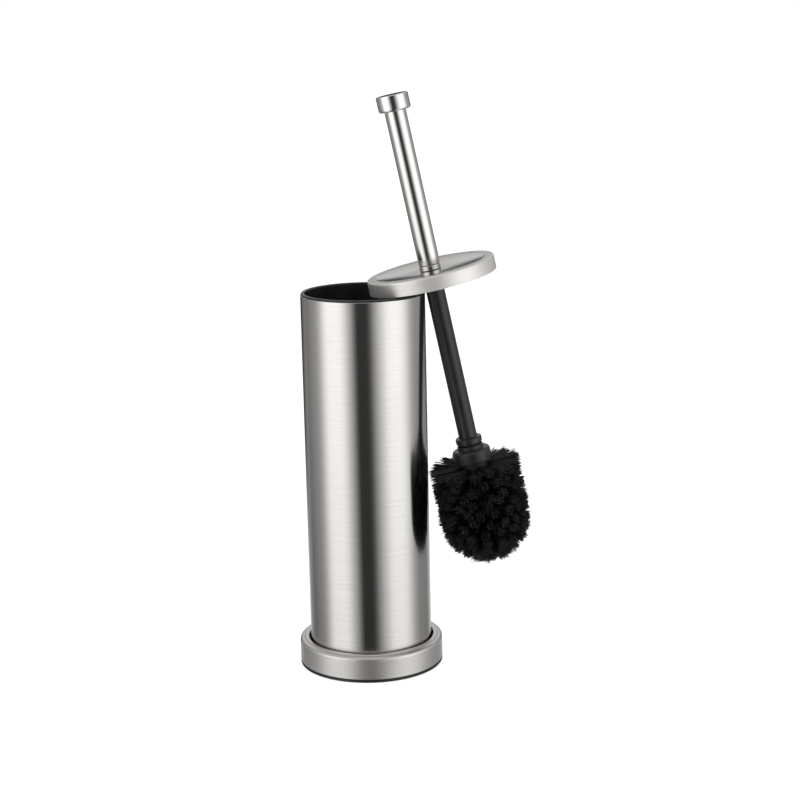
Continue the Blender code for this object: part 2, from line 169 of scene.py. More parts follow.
# the gap fades out to the sides: it holds where a direction points nearly straight back
behind = add_node(tree, "ShaderNodeMapRange", {"From Min": 0.70, "From Max": 0.92},
                  Value=height.outputs["Y"])
gapped = add_node(tree, "ShaderNodeMix", {"data_type": "RGBA", "blend_type": "MULTIPLY"})
tree.links.new(behind.outputs["Result"], gapped.inputs[0])
tree.links.new(faded.outputs["Vector"], gapped.inputs[6])
tree.links.new(gap_shares.outputs["Color"], gapped.inputs[7])
dome = add_node(tree, "ShaderNodeMix", {"data_type": "RGBA"})
tree.links.new(towards_top.outputs["Result"], dome.inputs[0])
tree.links.new(gapped.outputs[2], dome.inputs[6])
dome.inputs[7].default_value = world_grey(TOP_LIGHT)
lit = add_node(tree, "ShaderNodeBackground", {"Strength": 1.0})
tree.links.new(dome.outputs[2], lit.inputs["Color"])
plain = add_node(tree, "ShaderNodeBackground", {"Color": world_grey(1.0)})
ray = add_node(tree, "ShaderNodeLightPath")
shown = add_node(tree, "ShaderNodeMixShader", Fac=ray.outputs["Is Camera Ray"])
tree.links.new(lit.outputs[0], shown.inputs[1])
tree.links.new(plain.outputs[0], shown.inputs[2])
add_node(tree, "ShaderNodeOutputWorld", Surface=shown.outputs[0])
print("light ring of", len(PANELS), "bearings")

# %% Floor
FLOOR_RADIUS = 30.0

bm = bmesh.new()
bmesh.ops.create_circle(bm, cap_ends=True, segments=96, radius=FLOOR_RADIUS)
floor_mesh = bpy.data.meshes.new("floor")
bm.to_mesh(floor_mesh)
bm.free()
floor = bpy.data.objects.new("floor", floor_mesh)
bpy.context.scene.collection.objects.link(floor)
floor.visible_glossy = False
paper = bpy.data.materials.new("studio_paper")
paper.use_nodes = True
paper_shader = paper.node_tree.nodes["Principled BSDF"]
paper_shader.inputs["Base Color"].default_value = linear("#c8c8c8")
paper_shader.inputs["Roughness"].default_value = 1.0
paper_shader.inputs["Specular IOR Level"].default_value = 0.0
paper_shader.inputs["Emission Color"].default_value = linear("#ffffff")
paper_shader.inputs["Emission Strength"].default_value = 0.75
floor_mesh.materials.append(paper)

# %% [markdown]
# ## Where the brush is
# The brush leans on the rim. The joint that unscrews its head lies on the brush's own axis, so
# that joint gives the tilt. Brush pieces are modelled upright and then tilted by one matrix, and
# heights along the brush are read from the solids with its inverse.

# %% The brush's own frame
head_joint = next(joint for joint in frame["joints"] if joint["name"] == "head_unscrew")
brush_down = Vector(head_joint["axis"]).normalized()
TILT = math.atan2(brush_down.x, -brush_down.z)
brush_frame = Matrix.Translation(head_joint["pos_m"]) @ Matrix.Rotation(-TILT, 4, "Y")
canister_frame = Matrix.Identity(4)


def span(node, place=brush_frame):
    """Lowest height, highest height and largest radius of a solid, in millimetres on its axis."""
    inverse = place.inverted()
    points = [inverse @ vertex.co for vertex in nodes[node].data.vertices]
    return (min(p.z for p in points) / MM, max(p.z for p in points) / MM,
            max(math.hypot(p.x, p.y) for p in points) / MM)


print("tilt", round(math.degrees(TILT), 2), "degrees")

# %% [markdown]
# ## Turning
# Nearly every part here is drawn, spun or moulded round an axis, so each starts as a half
# outline: a few corners with their radius, height and rounding in millimetres. Each corner is
# rounded while the outline is still flat, short holding edges keep the flats flat under smooth
# shading, and one full spin makes the piece. Rounded edges matter most: metal shows its edges as
# fine bright lines.

# %% Turn a piece from its outline
def draw_outline(bm, corners):
    verts = [bm.verts.new((radius * MM, 0.0, height * MM)) for radius, height, _ in corners]
    for pair in zip(verts, verts[1:]):
        bm.edges.new(pair)
    if corners[0][0] > 0.0 or corners[-1][0] > 0.0:
        bm.edges.new((verts[-1], verts[0]))
    for vert, (_, _, rounding) in zip(verts, corners):
        if rounding:
            bmesh.ops.bevel(bm, geom=[vert], offset=rounding * MM, offset_type="OFFSET",
                            affect="VERTICES", segments=5, profile=0.5, material=-1)


def add_holding_points(bm, hold=0.15 * MM):
    for edge in list(bm.edges):
        length = edge.calc_length()
        if length > 6 * hold:
            first, last = edge.verts
            rest, _ = bmesh.utils.edge_split(edge, first, hold / length)
            near_end = (first, *rest.verts)
            remaining = next(e for e in last.link_edges if e.other_vert(last) in near_end)
            bmesh.utils.edge_split(remaining, last, hold / remaining.calc_length())


SHARP_ANGLE = math.radians(38)    # steeper edges than this stay crisp under smooth shading


def make_object(name, bm, place, material, body, replaced=()):
    bm.transform(place)
    mesh = bpy.data.meshes.new(name)
    bm.to_mesh(mesh)
    bm.free()
    mesh.materials.append(material)
    mesh.shade_smooth()
    mesh.set_sharp_from_angle(angle=SHARP_ANGLE)
    piece = bpy.data.objects.new(name, mesh)
    bpy.context.scene.collection.objects.link(piece)
    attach(piece, body)
    if replaced:
        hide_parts(*replaced)
    print(name, len(mesh.polygons), "faces")
    return piece


def turned(name, corners, place, material, body, replaced=(), steps=160):
    bm = bmesh.new()
    draw_outline(bm, corners)
    add_holding_points(bm)
    bmesh.ops.spin(bm, geom=bm.verts[:] + bm.edges[:], cent=(0, 0, 0), axis=(0, 0, 1),
                   angle=2 * math.pi, steps=steps, use_merge=True)
    bmesh.ops.remove_doubles(bm, verts=bm.verts[:], dist=1e-6)
    bmesh.ops.recalc_face_normals(bm, faces=bm.faces[:])
    return make_object(name, bm, place, material, body, replaced)

# %% [markdown]
# ## Satin stainless steel
# The shell is rolled stainless sheet, and the plinth and lid are pressed from it. The shell, the
# tube and the lid's flat ring are finished with a fine abrasive belt while they turn, which
# leaves hair-thin lines round the axis. Reflections smear across the lines and stay fairly crisp
# along them. The shader does this with anisotropy, turned a quarter turn from the direction of
# the lines. That direction is worked out from the piece's own axis, so it needs no map. The walls
# of the plinth and of the lid are blasted, lightly brushed and sealed with a thin matt lacquer, so
# they look softer and scatter part of the light. The lid's dish keeps the smoother skin of the
# press. The real lines are about 0.05 mm apart; they are drawn at 0.3 mm so that they show.

# %% Steel finish
LINE_PITCH = 0.3 * MM
SMUDGE_SIZE = 35 * MM


def upright_coordinates(tree, leaning):
    """Object coordinates measured from the piece's own axis, for the leaning or upright pieces."""
    coordinates = add_node(tree, "ShaderNodeTexCoord")
    place = add_node(tree, "ShaderNodeMapping", {"vector_type": "TEXTURE"},
                     Vector=coordinates.outputs["Object"])
    if leaning:
        place.inputs["Location"].default_value = brush_frame.translation
        place.inputs["Rotation"].default_value = (0.0, -TILT, 0.0)
    return coordinates, place


def turned_lines(tree, place):
    """Noise drawn out into rings round the axis, fine along the axis and along the radius."""
    parts = add_node(tree, "ShaderNodeSeparateXYZ", Vector=place.outputs["Vector"])
    flat = add_node(tree, "ShaderNodeCombineXYZ", X=parts.outputs["X"], Y=parts.outputs["Y"])
    radius = add_node(tree, "ShaderNodeVectorMath", {"operation": "LENGTH"},
                      Vector=flat.outputs["Vector"])
    rings = add_node(tree, "ShaderNodeCombineXYZ", X=radius.outputs["Value"],
                     Y=parts.outputs["Z"], Z=parts.outputs["X"])
    fine = add_node(tree, "ShaderNodeMapping", {"vector_type": "POINT"},
                    Vector=rings.outputs["Vector"])
    fine.inputs["Scale"].default_value = (1 / LINE_PITCH, 1 / LINE_PITCH, 1 / SMUDGE_SIZE)
    noise = add_node(tree, "ShaderNodeTexNoise", {"Scale": 1.0, "Detail": 3.0, "Roughness": 0.6},
                     Vector=fine.outputs["Vector"])
    return noise


def steel_finish(name, tone, dull_tone, roughness, spread, leaning=False, anisotropy=0.6,
                 smear_turn=0.25, line_depth=0.004 * MM, lacquer=0.0):
    """Satin steel: tone and dull_tone are its two greys, spread is how much roughness varies.

    smear_turn is 0.25 to smear reflections across the lines and 0 to smear them along the lines.
    lacquer is the share of light scattered by a thin matt coat instead of mirrored by the metal.
    """
    material = bpy.data.materials.new(name)
    material.use_nodes = True
    tree = material.node_tree
    shader = tree.nodes["Principled BSDF"]
    shader.inputs["Metallic"].default_value = 1.0 - lacquer
    shader.inputs["Anisotropic"].default_value = anisotropy
    shader.inputs["Anisotropic Rotation"].default_value = smear_turn
    coordinates, place = upright_coordinates(tree, leaning)
    lines = turned_lines(tree, place)
    smudges = add_node(tree, "ShaderNodeTexNoise", {"Scale": 1 / SMUDGE_SIZE, "Detail": 2.0},
                       Vector=place.outputs["Vector"])
    wear = add_node(tree, "ShaderNodeMath", {"operation": "ADD"})
    tree.links.new(lines.outputs["Fac"], wear.inputs[0])
    tree.links.new(smudges.outputs["Fac"], wear.inputs[1])
    rough = add_node(tree, "ShaderNodeMapRange", {"From Min": 0.7, "From Max": 1.3,
                                                  "To Min": roughness - spread,
                                                  "To Max": roughness + spread},
                     Value=wear.outputs["Value"])
    greys = add_node(tree, "ShaderNodeValToRGB", Fac=lines.outputs["Fac"])
    colour_stops(greys, [(0.25, linear(dull_tone)), (0.6, linear(tone))])
    tree.links.new(rough.outputs["Result"], shader.inputs["Roughness"])
    tree.links.new(greys.outputs["Color"], shader.inputs["Base Color"])
    bump = add_node(tree, "ShaderNodeBump", {"Strength": 0.6, "Distance": line_depth},
                    Height=lines.outputs["Fac"])
    tree.links.new(bump.outputs["Normal"], shader.inputs["Normal"])
    axis = brush_frame.to_3x3() @ Vector((0, 0, 1)) if leaning else Vector((0, 0, 1))
    centre = brush_frame.translation if leaning else Vector((0, 0, 0))
    arm = add_node(tree, "ShaderNodeVectorMath", {"operation": "SUBTRACT"})
    tree.links.new(coordinates.outputs["Object"], arm.inputs[0])
    arm.inputs[1].default_value = centre
    around = add_node(tree, "ShaderNodeVectorMath", {"operation": "CROSS_PRODUCT"})
    around.inputs[0].default_value = axis
    tree.links.new(arm.outputs["Vector"], around.inputs[1])
    along_lines = add_node(tree, "ShaderNodeVectorMath", {"operation": "NORMALIZE"})
    tree.links.new(around.outputs["Vector"], along_lines.inputs[0])
    tree.links.new(along_lines.outputs["Vector"], shader.inputs["Tangent"])
    return material


shell_steel = steel_finish("brushed_stainless_shell", "#d3d1ce", "#c8c6c3", 0.17, 0.02,
                           anisotropy=0.9, line_depth=0.0012 * MM)
plinth_steel = steel_finish("satin_stainless_plinth", "#cdcbc8", "#c1bfbc", 0.26, 0.03,
                            anisotropy=0.6, smear_turn=0.0, line_depth=0.002 * MM, lacquer=0.2)
lid_steel = steel_finish("satin_stainless_lid", "#e6e4e1", "#dad8d5", 0.34, 0.03, leaning=True,
                         anisotropy=0.6, smear_turn=0.0, lacquer=0.35)
# The dish and the ring get much darker greys than the skirt: partly their own finish, partly
# painted shade on the up-facing top.
lid_dish_steel_painted_shade = steel_finish("pressed_stainless_lid_dish_painted_shade", "#9f9d9a", "#959390", 0.13, 0.02,
                              leaning=True, anisotropy=0.3, line_depth=0.0008 * MM)
lid_ring_steel_painted_shade = steel_finish("turned_stainless_lid_ring_painted_shade", "#b6b4b1", "#aaa8a5", 0.30, 0.02,
                              leaning=True, anisotropy=0.9, line_depth=0.0012 * MM)
handle_steel = steel_finish("polished_stainless_handle", "#e2e0dd", "#d8d6d3", 0.13, 0.02,
                            leaning=True, anisotropy=0.8, line_depth=0.0008 * MM)

# %% [markdown]
# ## Chrome
# The end cap is a zinc casting, polished and chrome plated: a nearly perfect mirror with a cool
# tint. Only faint finger marks roughen it.

# %% Chrome finish
def chrome_finish(name):
    material = bpy.data.materials.new(name)
    material.use_nodes = True
    tree = material.node_tree
    shader = tree.nodes["Principled BSDF"]
    shader.inputs["Metallic"].default_value = 1.0
    _, place = upright_coordinates(tree, True)
    marks = add_node(tree, "ShaderNodeTexNoise", {"Scale": 1 / (6 * MM), "Detail": 4.0},
                     Vector=place.outputs["Vector"])
    rough = add_node(tree, "ShaderNodeMapRange", {"From Min": 0.4, "From Max": 0.7,
                                                  "To Min": 0.05, "To Max": 0.11},
                     Value=marks.outputs["Fac"])
    tree.links.new(rough.outputs["Result"], shader.inputs["Roughness"])
    tints = add_node(tree, "ShaderNodeValToRGB", Fac=marks.outputs["Fac"])
    colour_stops(tints, [(0.3, linear("#e2e3e4")), (0.7, linear("#d6d7d9"))])
    tree.links.new(tints.outputs["Color"], shader.inputs["Base Color"])
    return material


cap_chrome = chrome_finish("polished_chrome_plate")

# %% [markdown]
# ## Black plastics and rubber
# The liner is moulded polypropylene, the shaft and the head's core are moulded ABS, and the pad
# is a soft rubber. All are nearly black, so the eye reads them by their gloss. A tool that was
# spark eroded leaves a fine pebbled grain, and slow changes in gloss come from the plastic's flow.
# The grain is about 0.1 mm on the real pieces and is drawn at 0.5 mm so that it shows.

# %% Plastic finish
def plastic_finish(name, tone, deep_tone, roughness, grain, grain_depth, leaning=False):
    material = bpy.data.materials.new(name)
    material.use_nodes = True
    tree = material.node_tree
    shader = tree.nodes["Principled BSDF"]
    shader.inputs["IOR"].default_value = 1.5
    _, place = upright_coordinates(tree, leaning)
    pebbles = add_node(tree, "ShaderNodeTexNoise", {"Scale": 1 / grain, "Detail": 2.0},
                       Vector=place.outputs["Vector"])
    flow = add_node(tree, "ShaderNodeTexNoise", {"Scale": 1 / (18 * MM), "Detail": 3.0},
                    Vector=place.outputs["Vector"])
    rough = add_node(tree, "ShaderNodeMapRange", {"From Min": 0.3, "From Max": 0.7,
                                                  "To Min": roughness - 0.06,
                                                  "To Max": roughness + 0.06},
                     Value=flow.outputs["Fac"])
    tree.links.new(rough.outputs["Result"], shader.inputs["Roughness"])
    tones = add_node(tree, "ShaderNodeValToRGB", Fac=flow.outputs["Fac"])
    colour_stops(tones, [(0.35, linear(deep_tone)), (0.65, linear(tone))])
    tree.links.new(tones.outputs["Color"], shader.inputs["Base Color"])
    bump = add_node(tree, "ShaderNodeBump", {"Strength": 0.5, "Distance": grain_depth},
                    Height=pebbles.outputs["Fac"])
    tree.links.new(bump.outputs["Normal"], shader.inputs["Normal"])
    return material


liner_plastic = plastic_finish("moulded_polypropylene", "#242424", "#1e1e1f", 0.34, 0.5 * MM,
                               0.01 * MM)
base_plastic = plastic_finish("moulded_base_plastic", "#1b1b1b", "#141414", 0.50, 0.5 * MM,
                              0.02 * MM)
shaft_plastic = plastic_finish("satin_moulded_abs", "#202123", "#191a1c", 0.38, 0.5 * MM,
                               0.012 * MM, leaning=True)
pad_rubber = plastic_finish("moulded_rubber", "#1a1a1a", "#121212", 0.80, 0.8 * MM, 0.04 * MM)
washer_rubber = plastic_finish("washer_rubber", "#0b0b0b", "#080808", 0.60, 0.5 * MM,
                               0.02 * MM, leaning=True)

# %% [markdown]
# ## Zinc-plated steel
# The threaded stud inside the handle is bright zinc plate, seen only if the brush is taken apart.

# %% Zinc finish
stud_zinc = steel_finish("zinc_plated_steel", "#b9bab4", "#9c9d98", 0.38, 0.06, leaning=True,
                         anisotropy=0.0)
nodes["threaded_stud"].data.materials.clear()
nodes["threaded_stud"].data.materials.append(stud_zinc)
for hidden in ("handle_insert", "cap_plug"):
    nodes[hidden].data.materials.clear()
    nodes[hidden].data.materials.append(shaft_plastic)

# %% [markdown]
# ## The canister
# A steel tube stands in a grooved base plate. Its upper edge is broken by a small radius, which
# shows as a bright thread under the liner's lip. A pressed cover hides the plate, with a rolled
# shoulder and one fine step on its shelf, and a rubber pad is let in under it.

# %% Shell
SHELL_WALL = 0.8

shell_low, shell_top, shell_radius = span("outer_shell", canister_frame)
shell = [(shell_radius - SHELL_WALL, shell_low, 0.0),
         (shell_radius, shell_low, 0.0),
         (shell_radius, shell_top, 0.35),
         (shell_radius - SHELL_WALL, shell_top, 0.1)]
turned("shell_tube", shell, canister_frame, shell_steel, "canister", ["outer_shell"],
       steps=192)

# %% Plinth cover
PLINTH_WALL = 0.8
PLINTH_STEP = 0.6
SHOULDER_ROUND = 2.4
SHOULDER_FLAT = 0.8        # between the fine step and the rounding
COLLAR_GAP = 1.2           # dark groove left round the shell
COLLAR_WALL = 0.8

plinth_low, plinth_top, plinth_radius = span("plinth_cover", canister_frame)
shoulder = plinth_top - PLINTH_STEP
shelf = plinth_radius - SHOULDER_ROUND - SHOULDER_FLAT
collar_inside = shell_radius + COLLAR_GAP
collar_outside = collar_inside + COLLAR_WALL
plinth = [(collar_inside, plinth_top - 1.6, 0.0),
          (collar_inside, plinth_top, 0.9),
          (shelf - 0.2, plinth_top, 0.25),
          (shelf + 0.2, shoulder, 0.2),
          (plinth_radius, shoulder, SHOULDER_ROUND),
          (plinth_radius, plinth_low, 0.2),
          (plinth_radius - PLINTH_WALL, plinth_low, 0.1),
          (plinth_radius - PLINTH_WALL, shoulder - PLINTH_WALL, 1.6),
          (collar_outside, shoulder - PLINTH_WALL, 0.0),
          (collar_outside, plinth_top - 1.6, 0.0)]
turned("plinth_cover_pressing", plinth, canister_frame, plinth_steel, "canister",
       ["plinth_cover"], steps=192)

# %% Base plate and pad
FIT = 0.3                  # room left between two pieces that slide together
BAND_HEIGHT = 2.1          # black band that shows under the cover
RECESS_TOP = 1.5
DECK = 4.6
SOCKET_WALL = 1.5
OUTER_WALL_HEIGHT = 6.0
SHEET_SLOT = 1.4           # width of the groove that the shell stands in

base_low, base_high, _ = span("base_plate", canister_frame)
pad_low, pad_top, pad_radius = span("anti_slip_pad", canister_frame)
recess = pad_radius + FIT
rim = plinth_radius - PLINTH_WALL - FIT
socket = shell_radius + FIT
inner_wall = socket - SHEET_SLOT
base = [(0.0, RECESS_TOP, 0.0), (recess, RECESS_TOP, 0.0), (recess, base_low, 0.15),
        (plinth_radius, base_low, 0.25), (plinth_radius, BAND_HEIGHT, 0.15),
        (rim, BAND_HEIGHT, 0.1), (rim, DECK, 0.2), (socket + SOCKET_WALL, DECK, 0.0),
        (socket + SOCKET_WALL, DECK + OUTER_WALL_HEIGHT, 0.3),
        (socket, DECK + OUTER_WALL_HEIGHT, 0.3), (socket, DECK, 0.0),
        (inner_wall, DECK, 0.0), (inner_wall, base_high, 0.3),
        (inner_wall - SOCKET_WALL, base_high, 0.3), (inner_wall - SOCKET_WALL, DECK, 0.0),
        (0.0, DECK, 0.0)]
turned("base_plate_moulding", base, canister_frame, base_plastic, "canister", ["base_plate"])

GROOVES = (9, 15, 21, 27, 33, 39)
GROOVE_DEPTH = 0.5
pad = [(0.0, pad_low, 0.0)]
for groove in GROOVES:
    pad += [(groove - 0.8, pad_low, 0.1), (groove - 0.4, pad_low + GROOVE_DEPTH, 0.1),
            (groove + 0.4, pad_low + GROOVE_DEPTH, 0.1), (groove + 0.8, pad_low, 0.1)]
pad += [(pad_radius, pad_low, 0.3), (pad_radius, pad_top, 0.2), (0.0, pad_top, 0.0)]
turned("grooved_rubber_pad", pad, canister_frame, pad_rubber, "canister", ["anti_slip_pad"])

# %% [markdown]
# ## The liner
# A plain moulded bucket drops into the shell and hangs by a thin lip round its mouth. The lip's
# edges are rounded, so it shows a dark line, a thin highlight and a dark line again.

# %% Liner
LIP_THICKNESS = 1.0
BORE_INSIDE_SHELL = 2.9    # how far the bore at the mouth lies inside the shell's outside
DRAFT = 1.8                # how much the bore narrows towards the floor
FLOOR_THICKNESS = 2.0

liner_low, liner_top, lip_radius = span("liner_bucket", canister_frame)
bore = shell_radius - BORE_INSIDE_SHELL
liner = [(0.0, liner_low, 0.0),
         (bore - 0.3, liner_low, 5.0),
         (bore + 1.5, liner_top - LIP_THICKNESS, 0.2),
         (lip_radius, liner_top - LIP_THICKNESS, 0.2),
         (lip_radius, liner_top, 0.75),
         (bore, liner_top, 1.0),
         (bore - DRAFT, liner_low + FLOOR_THICKNESS, 3.5),
         (0.0, liner_low + FLOOR_THICKNESS, 0.0)]
turned("liner_bucket_moulding", liner, canister_frame, liner_plastic, "liner",
       ["liner_bucket"], steps=192)

# %% [markdown]
# ## The lid
# The lid is a pressed steel cap: a skirt, a flat ring, a fine step down and a shallow dish that
# turns up towards its edge. The near side of the dish reflects the low, dark gap in the light and
# the far side the light above it. Skirt, ring and dish each have their own finish, given to the
# faces by the way they look and their distance from the axis. The ring's and the dish's greys are
# much darker than the skirt's: partly their own finish, partly painted shade on the up-facing top.
# A black moulding closes the lid from below.

# %% Lid cover
LID_WALL = 0.8
LID_EDGE_ROUND = 1.2
RING_WIDTH = 6.0
RING_STEP = 0.3
RING_STEP_RUN = 0.5
DISH_DEPTH = 1.5
DISH_RUN = 24.0            # width of the dish's turned-up edge
DISH_STEP = 1.6            # spacing of the outline's points across the dish
STUD_HOLE = 3.3
FACE_INSET = 1.0           # the ring's finish starts this far inside the skirt

lid_low, lid_top, lid_radius = span("lid_cover")
dish_radius = lid_radius - RING_WIDTH - RING_STEP_RUN
dish_flat = dish_radius - DISH_RUN
dish_edge = lid_top - RING_STEP
dish_floor = dish_edge - DISH_DEPTH


def dish_height(radius):
    rise = max(0.0, (radius - dish_flat) / DISH_RUN)
    return dish_floor + DISH_DEPTH * rise ** 2


lid = [(lid_radius, lid_low, 0.25),
       (lid_radius, lid_top, LID_EDGE_ROUND),
       (lid_radius - RING_WIDTH, lid_top, 0.2),
       (dish_radius, dish_edge, 0.2)]
dish_steps = [dish_radius - 1.0 - step * DISH_STEP for step in range(15)] + [STUD_HOLE]
lid += [(radius, dish_height(radius), 0.0) for radius in dish_steps]
lid += [(STUD_HOLE, dish_floor - LID_WALL, 0.0),
        (dish_flat, dish_floor - LID_WALL, 0.0),
        (dish_radius, dish_edge - LID_WALL, 0.0),
        (lid_radius - LID_WALL, dish_edge - LID_WALL, 0.0),
        (lid_radius - LID_WALL, lid_low, 0.2)]
lid_piece = turned("lid_pressing", lid, brush_frame, lid_steel, "brush", ["lid_cover"],
                   steps=192)
lid_piece.data.materials.append(lid_dish_steel_painted_shade)
lid_piece.data.materials.append(lid_ring_steel_painted_shade)

upright = brush_frame.inverted()
# faces that look up take the dish's or the ring's darker grey, which is partly painted shade
for face in lid_piece.data.polygons:
    looks_up = (upright.to_3x3() @ face.normal).z > 0.5
    distance = (upright @ face.center).xy.length
    if looks_up and distance < (lid_radius - FACE_INSET) * MM:
        face.material_index = 1 if distance < dish_radius * MM else 2
print("lid faces by finish:", [sum(face.material_index == finish for face in
                                   lid_piece.data.polygons) for finish in range(3)])

# %% Lid insert
insert_low, insert_top, insert_radius = span("lid_insert")
insert_ceiling = insert_low + 1.4    # floor of the hollows between the moulded ribs
insert = [(STUD_HOLE, insert_low, 0.0), (10.0, insert_low, 0.4), (10.4, insert_ceiling, 0.3),
          (22.0, insert_ceiling, 0.3), (22.4, insert_low, 0.3), (24.0, insert_low, 0.3),
          (24.4, insert_ceiling, 0.3), (38.0, insert_ceiling, 0.3), (38.4, insert_low, 0.3),
          (insert_radius, insert_low, 0.5), (insert_radius, insert_top, 0.3),
          (STUD_HOLE, insert_top, 0.0)]
turned("lid_insert_moulding", insert, brush_frame, shaft_plastic, "brush", ["lid_insert"])

# %% [markdown]
# ## The handle
# A length of polished tube stands on a short collar and carries the chrome cap. The joint between
# collar and tube is a fine dark line, so both ends get a small radius. The cap's lower edge is
# well rounded and its upper edge nearly sharp.

# %% Collar, tube and cap
TUBE_WALL = 0.8
SOCKET_DEPTH = 5.0         # how far the tube goes up into the cap
SCREW_DEPTH = 8.3

collar_low, collar_high, collar_radius = span("handle_collar")
collar = [(STUD_HOLE, collar_low, 0.0), (collar_radius, collar_low, 0.2),
          (collar_radius, collar_high, 0.3), (STUD_HOLE, collar_high, 0.0)]
turned("handle_collar_ring", collar, brush_frame, handle_steel, "brush", ["handle_collar"],
       steps=96)

tube_low, tube_high, tube_radius = span("handle_tube")
tube = [(tube_radius - TUBE_WALL, tube_low, 0.0), (tube_radius, tube_low, 0.3),
        (tube_radius, tube_high, 0.2), (tube_radius - TUBE_WALL, tube_high, 0.0)]
turned("handle_tube_drawn", tube, brush_frame, handle_steel, "brush", ["handle_tube"],
       steps=96)

cap_low, cap_high, cap_radius = span("end_cap")
cap = [(0.0, cap_high, 0.0), (cap_radius, cap_high, 0.6), (cap_radius, cap_low, 1.6),
       (tube_radius + FIT, cap_low, 0.2), (tube_radius + FIT, cap_low + SOCKET_DEPTH, 0.0),
       (STUD_HOLE, cap_low + SOCKET_DEPTH, 0.0), (STUD_HOLE, cap_low + SCREW_DEPTH, 0.0),
       (0.0, cap_low + SCREW_DEPTH, 0.0)]
turned("end_cap_casting", cap, brush_frame, cap_chrome, "brush", ["end_cap"],
       steps=96)

# %% [markdown]
# ## The lower shaft
# A moulded rod ends in a flange, and below it a coarse thread screws into the head. The thread is
# a coil: the blunt section of one ridge is carried round and along the axis in one spin.

# %% Shaft and its thread
SHAFT_RADIUS = 6.3
SPIGOT_RADIUS = 4.6
FLANGE_RADIUS = 9.0
FLANGE_HEIGHT = 4.1
STUD_DEPTH = 14.3
THREAD_PITCH = 3.0
THREAD_DEPTH = 0.8
THREAD_TURNS = 4
TURN_STEPS = 48

shaft_low, shaft_high, _ = span("lower_shaft")
_, washer_high, _ = span("neck_washer")
flange_low = washer_high + FIT
flange_high = flange_low + FLANGE_HEIGHT
core_radius = SPIGOT_RADIUS - THREAD_DEPTH
shaft = [(0.0, shaft_low, 0.0), (core_radius, shaft_low, 0.5), (core_radius, flange_low, 0.0),
         (FLANGE_RADIUS, flange_low, 0.5), (FLANGE_RADIUS, flange_high, 0.9),
         (SHAFT_RADIUS, flange_high, 0.5), (SHAFT_RADIUS, shaft_high, 0.2),
         (STUD_HOLE, shaft_high, 0.0), (STUD_HOLE, shaft_high - STUD_DEPTH, 0.0),
         (0.0, shaft_high - STUD_DEPTH, 0.0)]
turned("lower_shaft_moulding", shaft, brush_frame, shaft_plastic, "brush", ["lower_shaft"],
       steps=96)

bm = bmesh.new()
ridge = [bm.verts.new((radius * MM, 0.0, (shaft_low + height) * MM))
         for radius, height in ((core_radius - 0.1, 0.3), (SPIGOT_RADIUS, 1.3),
                                (SPIGOT_RADIUS, 1.6), (core_radius - 0.1, 2.6))]
for first, second in zip(ridge, ridge[1:] + ridge[:1]):
    bm.edges.new((first, second))
cap_face = bm.faces.new(ridge)
bmesh.ops.spin(bm, geom=[cap_face], cent=(0, 0, 0), axis=(0, 0, 1),
               dvec=(0, 0, THREAD_PITCH * MM / TURN_STEPS), angle=2 * math.pi * THREAD_TURNS,
               steps=TURN_STEPS * THREAD_TURNS - TURN_STEPS // 2)
bmesh.ops.recalc_face_normals(bm, faces=bm.faces[:])
make_object("spigot_thread", bm, brush_frame, shaft_plastic, "brush", ())

# %% Washer and head core
THREADED_BORE = SPIGOT_RADIUS + FIT
NECK_RADIUS = 8.9
NECK_HEIGHT = 2.6
HUB_HEIGHT = 8.9
HEAD_CORE_RADIUS = 9.5

washer_low, washer_high, washer_radius = span("neck_washer")
washer = [(THREADED_BORE, washer_low, 0.0), (washer_radius, washer_low, 0.2),
          (washer_radius, washer_high, 0.2), (THREADED_BORE, washer_high, 0.0)]
turned("neck_washer_ring", washer, brush_frame, washer_rubber, "washer", ["neck_washer"],
       steps=96)

core_low, neck_high, hub_radius = span("head_core")
neck_low = neck_high - NECK_HEIGHT
hub_low = neck_low - HUB_HEIGHT
head_core = [(0.0, core_low, 0.0), (HEAD_CORE_RADIUS, core_low, 4.5),
             (HEAD_CORE_RADIUS, hub_low, 0.0),
             (hub_radius, hub_low, 0.5), (hub_radius, neck_low, 2.2),
             (NECK_RADIUS, neck_low, 0.4), (NECK_RADIUS, neck_high, 0.5),
             (THREADED_BORE, neck_high, 0.3), (THREADED_BORE, shaft_low - FIT, 0.0),
             (0.0, shaft_low - FIT, 0.0)]
turned("head_core_moulding", head_core, brush_frame, shaft_plastic, "head", ["head_core"],
       steps=96)

# %% [markdown]
# ## Nylon filament
# The tufts are extruded nylon, dyed black right through. The sides of a filament are smooth and
# take a narrow highlight. The cut ends are rougher. The colour is painted by reach along the
# filament: painted shade darkens it towards the roots between the tufts, and a painted highlight
# makes the outermost millimetres a little greyer.

# %% Nylon finish
nylon = bpy.data.materials.new("extruded_nylon_filament")
nylon.use_nodes = True
tree = nylon.node_tree
shader = tree.nodes["Principled BSDF"]
shader.inputs["IOR"].default_value = 1.53
# reach along the filament sets painted shade near the roots and a painted highlight at the tips
reach = add_node(tree, "ShaderNodeAttribute", {"attribute_name": "reach"})
tones = add_node(tree, "ShaderNodeValToRGB", Fac=reach.outputs["Fac"])
colour_stops(tones, [(0.0, linear("#0f0f10")), (0.85, linear("#1b1b1c")),
                     (1.0, linear("#272728"))])
tree.links.new(tones.outputs["Color"], shader.inputs["Base Color"])
coordinates = add_node(tree, "ShaderNodeTexCoord")
patches = add_node(tree, "ShaderNodeTexNoise", {"Scale": 1 / (4 * MM), "Detail": 1.0},
                   Vector=coordinates.outputs["Object"])
rough = add_node(tree, "ShaderNodeMapRange", {"From Min": 0.3, "From Max": 0.7,
                                              "To Min": 0.36, "To Max": 0.56},
                 Value=patches.outputs["Fac"])
tree.links.new(rough.outputs["Result"], shader.inputs["Roughness"])

